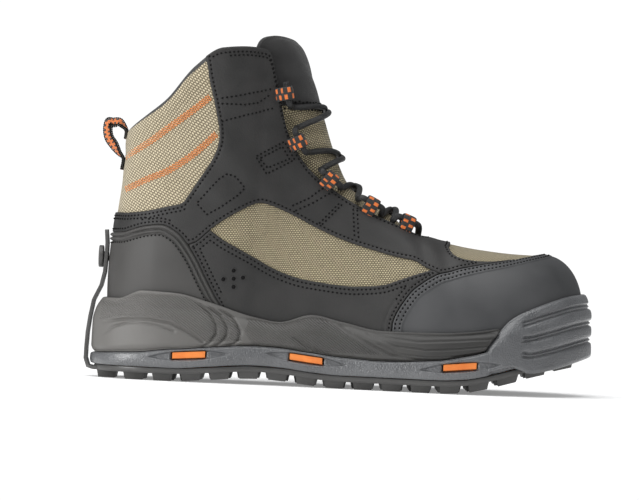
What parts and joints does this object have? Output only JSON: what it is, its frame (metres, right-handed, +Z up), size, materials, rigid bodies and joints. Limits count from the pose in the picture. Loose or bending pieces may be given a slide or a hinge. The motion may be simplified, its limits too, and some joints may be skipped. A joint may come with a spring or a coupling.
{
  "type": "wading boot",
  "caption": "Ankle-high wading boot with mesh and panel upper, drainage midsole, rubber toe bumper, loop lacing and a clip-in outsole held by a heel strap",
  "frame": {"origin": "on the floor under the middle of the boot's bounding box", "axes": "+X towards the toe, +Y towards the medial side, +Z up"},
  "size_m": [0.3225, 0.1126, 0.2216],
  "materials": {
    "black_rubber": "matt black tread rubber",
    "chassis_rubber": "satin pebbled bluish black rubber",
    "midsole_foam": "matt moulded foam with fine hatching",
    "khaki_mesh": "coarse woven tan mesh",
    "black_panel": "grained black synthetic leather",
    "toe_rubber": "smooth matt grey-black moulded skin",
    "orange_plastic": "satin orange plastic",
    "webbing": "woven orange and black tape",
    "lace_cord": "braided black cord",
    "black_knit": "smooth black padded knit",
    "insole_foam": "dark brushed lining on foam"
  },
  "bodies": {
    "root": {"chassis": "chassis_rubber", "midsole": "midsole_foam", "keeper_plate": "orange_plastic", "outsole": "black_rubber", "strap_knob": "toe_rubber", "upper": "khaki_mesh", "toe_cap": "toe_rubber", "heel_counter": "toe_rubber", "ankle_overlay": "black_panel", "mudguard_lateral": "black_panel", "mudguard_medial": "black_panel", "tongue": "black_knit", "insole": "insole_foam", "lace_loop_lateral_1": "webbing", "lace_loop_lateral_2": "webbing", "lace_loop_lateral_3": "webbing", "lace_loop_lateral_4": "webbing", "lace_loop_lateral_5": "webbing", "lace_loop_medial_1": "webbing", "lace_loop_medial_2": "webbing", "lace_loop_medial_3": "webbing", "lace_loop_medial_4": "webbing", "lace_loop_medial_5": "webbing", "lace_crossings": "lace_cord", "pull_loop": "webbing"}
  },
  "joints": []
}
